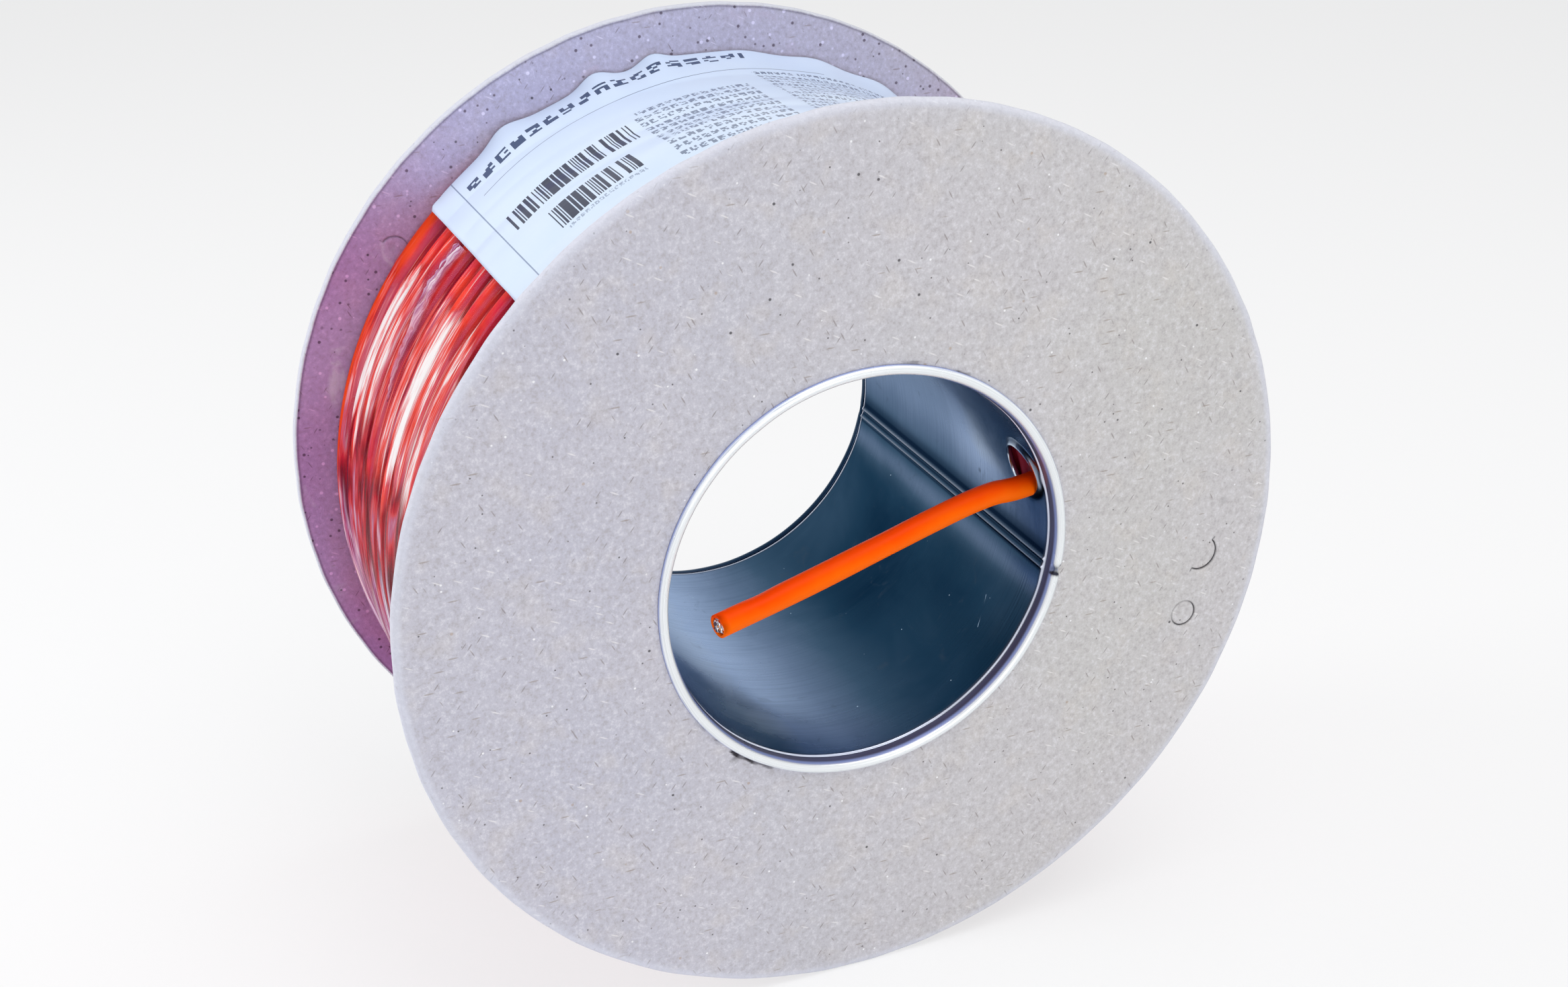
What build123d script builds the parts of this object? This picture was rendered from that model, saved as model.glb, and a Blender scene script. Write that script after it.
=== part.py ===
# Cable drum: two pressed-board flanges held on a rolled tinplate core, wound full of jacketed cable.
# The cable's inner end comes out through a drawn hole in the core. Film and a paper label go round the winding.
# Frame: +Z up, the drum's axis along Y, the front flange towards -Y, the floor under the middle at Z = 0.
import os
from math import cos, degrees, floor, pi, radians, sin, tan

from build123d import *

os.makedirs("parts", exist_ok=True)

# Flanges, in millimetres as all lengths are
flange_diameter = 300.0
flange_thickness = 3.5
flange_edge_bevel = 1.1
traverse_width = 139.5

# Tuck-in cuts of each flange for the cable's outer end: an arc slit and a round plug on one pitch circle
tuck_pitch_radius = 125.4
tuck_cut_width = 0.7
tuck_cut_depth = 0.6
slit_radius = 5.9
slit_start_angle = -113.0
slit_sweep_angle = 166.0
plug_radius = 4.5
plug_angle_from_slit = -10.25
front_slit_angle = -7.75
back_slit_angle = 145.0

# Core tube, rolled from one sheet
core_bore_diameter = 132.0
sheet_thickness = 0.5
flare_step = 0.8
flare_ramp = 0.5
curl_radius = 1.6
curl_facets = 4
flange_fit = 0.15

# Lock seam inside the core: two folded ridges side by side
seam_angle = -8.6
seam_height = 0.4
seam_ridge_width = 1.4
seam_ridge_spacing = 3.0

# Drawn hole in the core for the cable's inner end
hole_angle = 17.3
hole_radius = 9.4
hole_from_flange = 11.15
lip_width = 1.2
lip_height = 1.6
lip_bevel = 0.5

# Cable and its winding, which hangs on the core with some play, its outside lower still
cable_diameter = 7.6
winding_diameter = 272.8
winding_sag = 8.0
winding_fit = 0.2
winding_play = 0.9
top_turn_spacing = 11.5
turn_relief = 4.2

# Film wrap and label sheet
film_thickness = 0.2
film_lift = 0.15
film_front_margin = 1.5
film_back_margin = 9.0
label_thickness = 0.2
label_lift = 0.15
label_length = 210.0
label_upturn = 5.0
label_edge_gap = 0.6
label_start_angle = -44.5

# Route of the cable's inner end, from the hole in the core to the cut end
tail_route = [
    (63.2, -60.8, 164.7),
    (56.6, -62.8, 164.8),
    (45.2, -65.7, 166.7),
    (18.0, -71.0, 162.4),
    (-25.7, -78.9, 153.8),
    (-55.3, -85.2, 150.0),
]
tail_arc_share = 0.45

# Places and radii that follow from the sizes above
axis_height = flange_diameter / 2
flange_middle = (traverse_width + flange_thickness) / 2
flange_outer_face = flange_middle + flange_thickness / 2
core_radius = core_bore_diameter / 2
core_outer_radius = core_radius + sheet_thickness
land_radius = core_radius + flare_step
land_outer_radius = land_radius + sheet_thickness
curl_base = flange_outer_face + flange_fit
ramp_start = traverse_width / 2
land_start = ramp_start + flare_ramp
drum_axis = Axis((0, 0, axis_height), (0, 1, 0))
core_plane = Plane(origin=(0, 0, axis_height), x_dir=(1, 0, 0), z_dir=(0, 0, 1))
winding_height = axis_height - winding_sag
winding_axis = Axis((0, 0, winding_height), (0, 1, 0))
winding_plane = Plane(origin=(0, 0, winding_height), x_dir=(1, 0, 0), z_dir=(0, 0, 1))


def across(y):
    """Plane square to the drum's axis at the given Y, with X to the right, Z up and its normal along -Y."""
    return Plane(origin=(0, y, axis_height), x_dir=(1, 0, 0), z_dir=(0, -1, 0))


# Flanges: the same stamping twice, turned differently
slit_line = CenterArc((0, 0), slit_radius, slit_start_angle, slit_sweep_angle)
flange_sites = (("front_flange", -1, front_slit_angle), ("back_flange", 1, back_slit_angle))
for flange_name, side, slit_angle in flange_sites:
    with BuildPart() as flange:
        with BuildSketch(across(side * flange_middle)) as disc:
            Circle(flange_diameter / 2)
            Circle(land_outer_radius + flange_fit, mode=Mode.SUBTRACT)
        extrude(amount=flange_thickness / 2, both=True)
        rim_edges = flange.edges().filter_by(GeomType.CIRCLE).group_by(SortBy.RADIUS)[-1]
        chamfer(rim_edges, flange_edge_bevel)
        with BuildSketch(across(side * flange_middle - flange_thickness / 2)) as tuck_cuts:
            with PolarLocations(tuck_pitch_radius, 1, start_angle=slit_angle + plug_angle_from_slit):
                Circle(plug_radius + tuck_cut_width / 2)
                Circle(plug_radius - tuck_cut_width / 2, mode=Mode.SUBTRACT)
            with PolarLocations(tuck_pitch_radius, 1, start_angle=slit_angle):
                SlotArc(slit_line, tuck_cut_width)
        extrude(amount=tuck_cut_depth, both=True, mode=Mode.SUBTRACT)
    flange.part.label = flange_name
    export_step(flange.part, f"parts/{flange_name}.step")

# Lip drawn inwards round the hole in the core
hole_outward = Vector(cos(radians(hole_angle)), 0, sin(radians(hole_angle)))
hole_y = hole_from_flange - traverse_width / 2
hole_centre = Vector(0, hole_y, axis_height) + hole_outward * core_radius
hole_plane = Plane(origin=hole_centre, x_dir=(0, 1, 0), z_dir=hole_outward)
with BuildPart() as hole_lip:
    with BuildSketch(hole_plane.offset(-lip_height)) as lip_ring:
        Circle(hole_radius + lip_width)
        Circle(hole_radius, mode=Mode.SUBTRACT)
    extrude(amount=lip_height + core_outer_radius - core_radius)
    lip_face = hole_lip.faces().sort_by(Axis(hole_centre, hole_outward))[0]
    chamfer(lip_face.edges(), lip_bevel)
    with BuildSketch(across(hole_y)) as core_disc:
        Circle(core_radius + sheet_thickness / 2)
    extrude(amount=hole_radius + lip_width + sheet_thickness, both=True, mode=Mode.INTERSECT)

# Core tube: inside each flange the wall flares to a land, and it curls out over the flange's face
curl_points = []
for step in range(curl_facets + 1):
    rolled = pi * step / curl_facets
    curl_points.append((land_radius + curl_radius * (1 - cos(rolled)), curl_base + curl_radius * sin(rolled)))
with BuildPart() as core_tube:
    with BuildSketch(core_plane) as half_wall:
        with BuildLine() as half_wall_line:
            Polyline(
                (core_radius, 0),
                (core_radius, ramp_start),
                (land_radius, land_start),
                *curl_points,
                (land_outer_radius, curl_base),
                (land_outer_radius, land_start),
                (core_outer_radius, ramp_start),
                (core_outer_radius, 0),
                close=True,
            )
        make_face()
    revolve(axis=drum_axis)
    mirror(about=Plane.XZ)
    with BuildSketch(across(0)) as seam:
        with PolarLocations(core_radius, 1, start_angle=seam_angle):
            with GridLocations(0, seam_ridge_spacing, 1, 2):
                with Locations(((sheet_thickness / 2 - seam_height) / 2, 0)):
                    Rectangle(seam_height + sheet_thickness / 2, seam_ridge_width)
    extrude(amount=ramp_start, both=True)
    add(hole_lip.part)
    with BuildSketch(hole_plane.offset(-lip_height)) as hole:
        Circle(hole_radius)
    extrude(amount=lip_height + hole_radius, mode=Mode.SUBTRACT)
core_tube.part.label = "core_tube"
export_step(core_tube.part, "parts/core_tube.step")

# Winding: one turned solid with the open turns of its top layer as ridges, and the core's bore through it
winding_radius = winding_diameter / 2
winding_bore_radius = core_outer_radius + winding_play
winding_half = traverse_width / 2 - winding_fit
turn_count = floor(2 * winding_half / top_turn_spacing)
turn_pitch = 2 * winding_half / turn_count
valley_radius = winding_radius - turn_relief
with BuildPart() as cable_winding:
    with BuildSketch(winding_plane) as wound_section:
        with BuildLine() as wound_outline:
            turn_line = []
            for turn in range(turn_count):
                turn_front = turn * turn_pitch - winding_half
                turn_line += [(valley_radius, turn_front), (winding_radius, turn_front + turn_pitch / 2)]
            Polyline(
                (0, -winding_half),
                *turn_line,
                (valley_radius, winding_half),
                (0, winding_half),
                close=True,
            )
        make_face()
    revolve(axis=winding_axis)
    with BuildSketch(across(0)) as winding_bore:
        with Locations((0, winding_fit - winding_play)):
            Circle(winding_bore_radius)
    extrude(amount=winding_half, both=True, mode=Mode.SUBTRACT)
cable_winding.part.label = "cable_winding"
export_step(cable_winding.part, "parts/cable_winding.step")

# Tail: the cable's inner end on straight runs joined by tangent arcs
tail_points = [Vector(point) for point in tail_route]
tail_radii = []
for before, corner, after in zip(tail_points, tail_points[1:], tail_points[2:]):
    run_in = corner - before
    run_out = after - corner
    half_turn = radians(run_in.get_angle(run_out)) / 2
    tail_radii.append(tail_arc_share * min(run_in.length, run_out.length) / tan(half_turn))
with BuildPart() as cable_tail:
    with BuildLine() as tail_path:
        FilletPolyline(*tail_points, radius=tail_radii)
    with BuildSketch(Plane(origin=tail_path.line @ 0, z_dir=tail_path.line % 0)) as tail_section:
        Circle(cable_diameter / 2)
    sweep()
cable_tail.part.label = "cable_tail"
export_step(cable_tail.part, "parts/cable_tail.step")
tail_length = tail_path.wire().length
print("tail radii", [round(radius, 1) for radius in tail_radii], "length", round(tail_length, 1))
print("tail volume over section times length", cable_tail.part.volume / (tail_section.sketch.area * tail_length))

# Film wrap: a sleeve over the winding that leaves the last turns beside the back flange bare
film_inner_radius = winding_radius + film_lift
film_front = film_front_margin - winding_half
film_back = winding_half - film_back_margin
with BuildPart() as film_wrap:
    with BuildSketch(winding_plane) as film_section:
        with Locations((film_inner_radius + film_thickness / 2, (film_front + film_back) / 2)):
            Rectangle(film_thickness, film_back - film_front)
    revolve(axis=winding_axis)
film_wrap.part.label = "film_wrap"
export_step(film_wrap.part, "parts/film_wrap.step")

# Label sheet: laid round the top of the winding, its far edge turned up along the back flange
label_radius = film_inner_radius + film_thickness + label_lift
label_angle = radians(label_start_angle)
label_plane = Plane(
    origin=(0, 0, winding_height),
    x_dir=(sin(label_angle), 0, cos(label_angle)),
    z_dir=(-cos(label_angle), 0, sin(label_angle)),
)
label_near = label_edge_gap - traverse_width / 2
label_far = traverse_width / 2 - label_edge_gap
with BuildPart() as label_sheet:
    with BuildSketch(label_plane) as label_section:
        with BuildLine() as label_outline:
            Polyline(
                (label_radius, label_near),
                (label_radius, label_far),
                (label_radius + label_upturn, label_far),
                (label_radius + label_upturn, label_far - label_thickness),
                (label_radius + label_thickness, label_far - label_thickness),
                (label_radius + label_thickness, label_near),
                close=True,
            )
        make_face()
    revolve(axis=winding_axis, revolution_arc=degrees(label_length / label_radius))
label_sheet.part.label = "label_sheet"
export_step(label_sheet.part, "parts/label_sheet.step")
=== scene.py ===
"""Looks of the cable drum: board flanges, tinplate core, wound cable, stretch film, label sheet and the cable's end.

Lengths are in metres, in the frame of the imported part. An angle round the drum goes from straight up towards +X.
"""

import bmesh
import bpy
import numpy as np
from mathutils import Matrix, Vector


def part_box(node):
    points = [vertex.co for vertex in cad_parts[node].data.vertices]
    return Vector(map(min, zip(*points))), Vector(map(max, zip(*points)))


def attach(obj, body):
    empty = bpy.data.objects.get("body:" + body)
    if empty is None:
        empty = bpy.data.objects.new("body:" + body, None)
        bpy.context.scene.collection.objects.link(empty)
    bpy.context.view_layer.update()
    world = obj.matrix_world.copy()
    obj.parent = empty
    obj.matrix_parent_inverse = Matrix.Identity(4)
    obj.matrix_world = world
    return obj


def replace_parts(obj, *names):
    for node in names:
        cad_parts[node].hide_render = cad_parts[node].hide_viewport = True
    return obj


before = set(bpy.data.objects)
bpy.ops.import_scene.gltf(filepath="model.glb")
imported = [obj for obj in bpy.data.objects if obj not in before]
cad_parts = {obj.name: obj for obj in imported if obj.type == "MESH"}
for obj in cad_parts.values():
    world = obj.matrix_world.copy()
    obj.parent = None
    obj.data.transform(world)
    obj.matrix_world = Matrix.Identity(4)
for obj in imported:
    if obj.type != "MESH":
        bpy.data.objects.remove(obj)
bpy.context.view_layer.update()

mm = 0.001
turn = 2 * np.pi

# Sizes read from the frame
flange_low, flange_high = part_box("front_flange")
core_low, core_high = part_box("core_tube")
winding_low, winding_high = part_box("cable_winding")
film_low, film_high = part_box("film_wrap")
label_low, label_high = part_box("label_sheet")
axis_height = (flange_low.z + flange_high.z) / 2
flange_radius = (flange_high.z - flange_low.z) / 2
bead_radius = (core_high.x - core_low.x) / 2
winding_height = (winding_low.z + winding_high.z) / 2
winding_radius = (winding_high.z - winding_low.z) / 2
winding_half = winding_high.y

# Sizes that follow the part's source
cable_radius = 3.8 * mm
core_radius = 66.0 * mm
land_radius = 66.8 * mm
curl_radius = 1.6 * mm
curl_base = core_high.y - curl_radius
board_bore = 67.45 * mm
seam_angle = np.radians(99.2)
tail_route = [
    (63.2, -60.8, 164.7),
    (56.6, -62.8, 164.8),
    (45.2, -65.7, 166.7),
    (18.0, -71.0, 162.4),
    (-25.7, -78.9, 153.8),
    (-55.3, -85.2, 150.0),
]


# Shapes as arrays
def settle(value, low, high):
    """Smooth step: 0 up to low, 1 from high on, a cubic between them."""
    share = np.clip((value - low) / (high - low), 0, 1)
    return share * share * (3 - 2 * share)


def hump(value, centre, width):
    """Bell curve: 1 at the centre and about a third one width away from it."""
    return np.exp(-(((value - centre) / width) ** 2))


def turned(angle, centre):
    """Signed angle from the centre, between minus and plus half a turn."""
    return (angle - centre + np.pi) % turn - np.pi


def ripple(angle, along, seed, waves, length, count=7):
    """Sum of cosines with random whole wave numbers round the drum and random lengths along it; about -1 to 1."""
    random = np.random.default_rng(seed)
    total = 0.0 * (angle + along)
    for _ in range(count):
        whole = random.integers(1, waves + 1)
        lean = random.uniform(-1, 1) * turn / length
        total = total + np.cos(whole * angle + lean * along + random.uniform(0, turn))
    return total / np.sqrt(2 * count)


def creases(angle, along, seed, round_count, pitch):
    """Random heights on a lattice, so many round the drum and one each pitch along it, joined by smooth steps."""
    random = np.random.default_rng(seed)
    angle, along = np.broadcast_arrays(angle, along)
    reach = 2 * flange_radius
    place_round = (angle % turn) / turn * round_count
    place_along = (along + flange_radius) / pitch
    heights = random.uniform(-1, 1, (round_count, int(reach / pitch) + 2))
    i = np.floor(place_round).astype(int) % round_count
    j = np.floor(place_along).astype(int)
    s = settle(place_round - np.floor(place_round), 0, 1)
    t = settle(place_along - j, 0, 1)
    near = heights[i, j] * (1 - t) + heights[i, j + 1] * t
    far = heights[(i + 1) % round_count, j] * (1 - t) + heights[(i + 1) % round_count, j + 1] * t
    return near * (1 - s) + far * s


def ring_points(radius, angle, along, height):
    """Points at a radius from a level axis along Y at the given height."""
    radius, angle, along = np.broadcast_arrays(radius, angle, along)
    return np.stack([radius * np.sin(angle), along, height + radius * np.cos(angle)], axis=-1)


def grid_quads(rows, columns, closed_rows=False, closed_columns=False, first=0):
    """Corner numbers of the quads of a grid of points; a closed side joins its last line to its first."""
    row = np.arange(rows if closed_rows else rows - 1)[:, None]
    column = np.arange(columns if closed_columns else columns - 1)[None, :]
    next_row = (row + 1) % rows
    next_column = (column + 1) % columns
    corners = [row * columns + column, next_row * columns + column]
    corners += [next_row * columns + next_column, row * columns + next_column]
    return np.stack(corners, axis=-1) + first


def quad_flat(u, v):
    """Flat coordinates of each quad's corners, from a grid of them with one line more than the quads have."""
    flat = np.stack(np.broadcast_arrays(u, v), axis=-1)
    return np.stack([flat[:-1, :-1], flat[1:, :-1], flat[1:, 1:], flat[:-1, 1:]], axis=-2)


def make_piece(name, points, quads, finish, shares=None, flat=None):
    """One smooth mesh that rides on the drum; shares are values at its points that the finish reads."""
    mesh = bpy.data.meshes.new(name)
    points = points.reshape(-1, 3)
    quads = quads.reshape(-1, 4)
    mesh.vertices.add(len(points))
    mesh.vertices.foreach_set("co", points.astype(np.float32).ravel())
    mesh.loops.add(quads.size)
    mesh.loops.foreach_set("vertex_index", quads.astype(np.int32).ravel())
    mesh.polygons.add(len(quads))
    mesh.polygons.foreach_set("loop_start", np.arange(0, quads.size, 4, dtype=np.int32))
    mesh.polygons.foreach_set("use_smooth", np.ones(len(quads), dtype=bool))
    mesh.update(calc_edges=True)
    if flat is not None:
        mesh.uv_layers.new(name="Flat").data.foreach_set("uv", flat.astype(np.float32).ravel())
    for key, values in (shares or {}).items():
        attribute = mesh.attributes.new(key, "FLOAT", "POINT")
        attribute.data.foreach_set("value", np.asarray(values, dtype=np.float32).ravel())
    mesh.materials.append(finish)
    piece = bpy.data.objects.new(name, mesh)
    bpy.context.scene.collection.objects.link(piece)
    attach(piece, "root")
    return piece


# Node helpers for the finishes
def add_node(tree, kind, sockets=None, **settings):
    """A node with its settings made and its sockets set, or linked where the value is a socket."""
    node = tree.nodes.new(kind)
    for key, value in settings.items():
        setattr(node, key, value)
    for key, value in (sockets or {}).items():
        if isinstance(value, bpy.types.NodeSocket):
            tree.links.new(value, node.inputs[key])
        else:
            node.inputs[key].default_value = value
    return node


def sum_of(tree, operation, first, second=0.0, third=0.0):
    """One step of arithmetic."""
    node = add_node(tree, "ShaderNodeMath", {0: first, 1: second, 2: third}, operation=operation)
    return node.outputs[0]


def ramp(tree, value, low, high, start=0.0, end=1.0):
    """The value taken from low and high to start and end, smoothly and held at both."""
    sockets = {"Value": value, "From Min": low, "From Max": high, "To Min": start, "To Max": end}
    return add_node(tree, "ShaderNodeMapRange", sockets, interpolation_type="SMOOTHSTEP").outputs[0]


def blend(tree, share, first, second, mode="MIX"):
    """The first colour going over to the second, or multiplied by it, by the share."""
    node = add_node(tree, "ShaderNodeMix", {0: share, 6: first, 7: second}, data_type="RGBA", blend_type=mode)
    return node.outputs[2]


def speckle(tree, place, scale, reach, chance):
    """Small round spots: near the middle of a random few of the cells of the given scale."""
    cells = add_node(tree, "ShaderNodeTexVoronoi", {"Vector": place, "Scale": scale})
    near = ramp(tree, cells.outputs["Distance"], reach, reach * 0.5)
    pick = add_node(tree, "ShaderNodeSeparateColor", {0: cells.outputs["Color"]}).outputs[0]
    few = ramp(tree, pick, chance, chance - 0.02)
    return sum_of(tree, "MULTIPLY", near, few)


def cloud(tree, place, scale, detail=3.0, roughness=0.55, distortion=0.0):
    """Soft noise between 0 and 1."""
    sockets = {"Vector": place, "Scale": scale, "Detail": detail, "Roughness": roughness}
    sockets["Distortion"] = distortion
    return add_node(tree, "ShaderNodeTexNoise", sockets).outputs[0]


def stretched(tree, place, scale, turned_by=(0.0, 0.0, 0.0)):
    """The place turned and then scaled differently along its axes, for streaks and fibres."""
    spun = add_node(tree, "ShaderNodeMapping", {"Vector": place, "Rotation": turned_by})
    return add_node(tree, "ShaderNodeMapping", {"Vector": spun.outputs[0], "Scale": scale}).outputs[0]


def palette(tree, value, stops):
    """A row of colours by the value, from one stop to the next."""
    node = add_node(tree, "ShaderNodeValToRGB", {0: value})
    for spot, _ in stops[1:-1]:
        node.color_ramp.elements.new(spot)
    for element, (spot, tint) in zip(node.color_ramp.elements, stops):
        element.position = spot
        element.color = (*tint, 1)
    return node.outputs[0]


def line_mark(tree, place, start, end, width):
    """1 on a thin straight mark between two points, 0 a width away from it."""
    start = Vector(start) * mm
    run = Vector(end) * mm - start
    from_start = add_node(tree, "ShaderNodeVectorMath", {0: place, 1: start}, operation="SUBTRACT").outputs[0]
    ahead = {0: from_start, 1: run.normalized()}
    walked = add_node(tree, "ShaderNodeVectorMath", ahead, operation="DOT_PRODUCT").outputs["Value"]
    walked = sum_of(tree, "MINIMUM", sum_of(tree, "MAXIMUM", walked, 0.0), run.length)
    foot = {0: run.normalized(), "Scale": walked}
    nearest = add_node(tree, "ShaderNodeVectorMath", foot, operation="SCALE").outputs[0]
    apart = add_node(tree, "ShaderNodeVectorMath", {0: from_start, 1: nearest}, operation="DISTANCE")
    return ramp(tree, apart.outputs["Value"], width, width * 0.3)


def share_of(tree, name):
    """A value that the piece carries at its points."""
    return add_node(tree, "ShaderNodeAttribute", attribute_name=name).outputs["Fac"]


def bumped(tree, height, strength, distance):
    """Normals of a small relief."""
    sockets = {"Height": height, "Strength": strength, "Distance": distance}
    return add_node(tree, "ShaderNodeBump", sockets).outputs[0]


def start_finish(name):
    """A new material; gives it with its tree, its shader and the piece's own coordinates."""
    finish = bpy.data.materials.new(name)
    finish.use_nodes = True
    tree = finish.node_tree
    shader = tree.nodes["Principled BSDF"]
    coordinates = tree.nodes.new("ShaderNodeTexCoord")
    return finish, tree, shader, coordinates


def feed(tree, shader, **sockets):
    """Links sockets, or sets values, on the shader by name with underscores for blanks."""
    for key, value in sockets.items():
        target = shader.inputs[key.replace("_", " ")]
        if isinstance(value, bpy.types.NodeSocket):
            tree.links.new(value, target)
        else:
            target.default_value = value


# Finishes
def pressed_board():
    """Grey pulp board: slow clouds of tint, fine light and dark pulp, fibres lying every way, dark and white flecks.

    The rounded edge is paler, a painted highlight. Across the board the tint goes from lilac on the -X side to
    neutral on the +X side as painted light. The face beside the cable carries painted reflected light from it and
    a painted bluer shade, and is scuffed.
    """
    finish, tree, shader, coordinates = start_finish("pressed_board")
    place = coordinates.outputs["Object"]
    # Painted light: the tint goes from lilac on the -X side to neutral on the +X side, as the light falls across the
    # board.
    aside = add_node(tree, "ShaderNodeSeparateXYZ", {0: place}).outputs[0]
    colour = blend(tree, ramp(tree, aside, -0.12, 0.10), (0.545, 0.54, 0.625, 1), (0.60, 0.585, 0.575, 1))
    clouds = ramp(tree, cloud(tree, place, 13.0, 4.0), 0.36, 0.66, 0.0, 0.4)
    colour = blend(tree, clouds, colour, (0.605, 0.58, 0.62, 1))
    patches = ramp(tree, cloud(tree, place, 85.0, 2.0), 0.50, 0.70, 0.0, 0.20)
    colour = blend(tree, patches, colour, (0.67, 0.61, 0.55, 1))
    pulp = cloud(tree, place, 620.0, 5.0, 0.75)
    colour = blend(tree, ramp(tree, pulp, 0.33, 0.50, 0.52, 0.0), colour, (0.40, 0.37, 0.385, 1))
    colour = blend(tree, ramp(tree, pulp, 0.50, 0.68, 0.0, 0.46), colour, (0.84, 0.83, 0.87, 1))
    for lean, scale, strength, tone in (
        (0.5, 560.0, 0.60, (0.24, 0.20, 0.19, 1)),
        (1.6, 500.0, 0.55, (0.30, 0.24, 0.20, 1)),
        (2.5, 620.0, 0.60, (0.22, 0.19, 0.19, 1)),
        (1.1, 520.0, 0.55, (0.90, 0.88, 0.88, 1)),
    ):
        along_fibre = stretched(tree, place, (1.0, 1.0, 0.16), (0.0, lean, 0.0))
        fibre = speckle(tree, along_fibre, scale, 0.16, 0.36)
        colour = blend(tree, sum_of(tree, "MULTIPLY", fibre, strength), colour, tone)
    for scale, reach, chance, strength, fleck in (
        (330.0, 0.13, 0.20, 0.80, (0.08, 0.07, 0.07, 1)),
        (150.0, 0.09, 0.24, 0.85, (0.05, 0.045, 0.05, 1)),
        (230.0, 0.11, 0.22, 0.85, (0.95, 0.95, 0.97, 1)),
        (120.0, 0.08, 0.20, 0.50, (0.42, 0.29, 0.19, 1)),
        (62.0, 0.11, 0.22, 0.32, (0.34, 0.33, 0.34, 1)),
    ):
        spots = speckle(tree, place, scale, reach, chance)
        colour = blend(tree, sum_of(tree, "MULTIPLY", spots, strength), colour, fleck)
    for scale, fleck in ((290.0, (0.12, 0.09, 0.11, 1)), (260.0, (0.95, 0.93, 0.97, 1))):
        spots = sum_of(tree, "MULTIPLY", speckle(tree, place, scale, 0.21, 0.50), share_of(tree, "shaded"))
        colour = blend(tree, sum_of(tree, "MULTIPLY", spots, 0.85), colour, fleck)
    # Painted shade: the back flange's inner face is given a bluer cast.
    colour = blend(tree, share_of(tree, "shaded"), colour, (0.97, 0.98, 1.18, 1), "MULTIPLY")
    # Painted reflected light: the red-mauve cast that the cable throws on the back flange's inner face.
    colour = blend(tree, share_of(tree, "painted_cable_bounce"), colour, (0.73, 0.38, 0.62, 1), "MULTIPLY")
    scuffs = ramp(tree, cloud(tree, place, 52.0, 4.0, 0.6, 0.9), 0.56, 0.70, 0.0, 0.60)
    scuffs = sum_of(tree, "MULTIPLY", scuffs, share_of(tree, "shaded"))
    colour = blend(tree, scuffs, colour, (0.60, 0.52, 0.68, 1))
    # Painted highlight: the rounded edge is made pale lilac, as where it catches the light.
    colour = blend(tree, sum_of(tree, "MULTIPLY", share_of(tree, "rim"), 0.6), colour, (0.72, 0.74, 0.84, 1))
    # Dark stamped cuts and torn board, with the back flange's painted crease shade and the plug ring's painted shadow
    # side.
    colour = blend(tree, share_of(tree, "cut"), colour, (0.02, 0.016, 0.022, 1))
    relief = sum_of(tree, "ADD", pulp, cloud(tree, place, 1500.0, 2.0))
    feed(tree, shader, Base_Color=colour, Roughness=0.86, Normal=bumped(tree, relief, 0.6, 0.3 * mm))
    feed(tree, shader, Specular_IOR_Level=0.25)
    return finish


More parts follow.
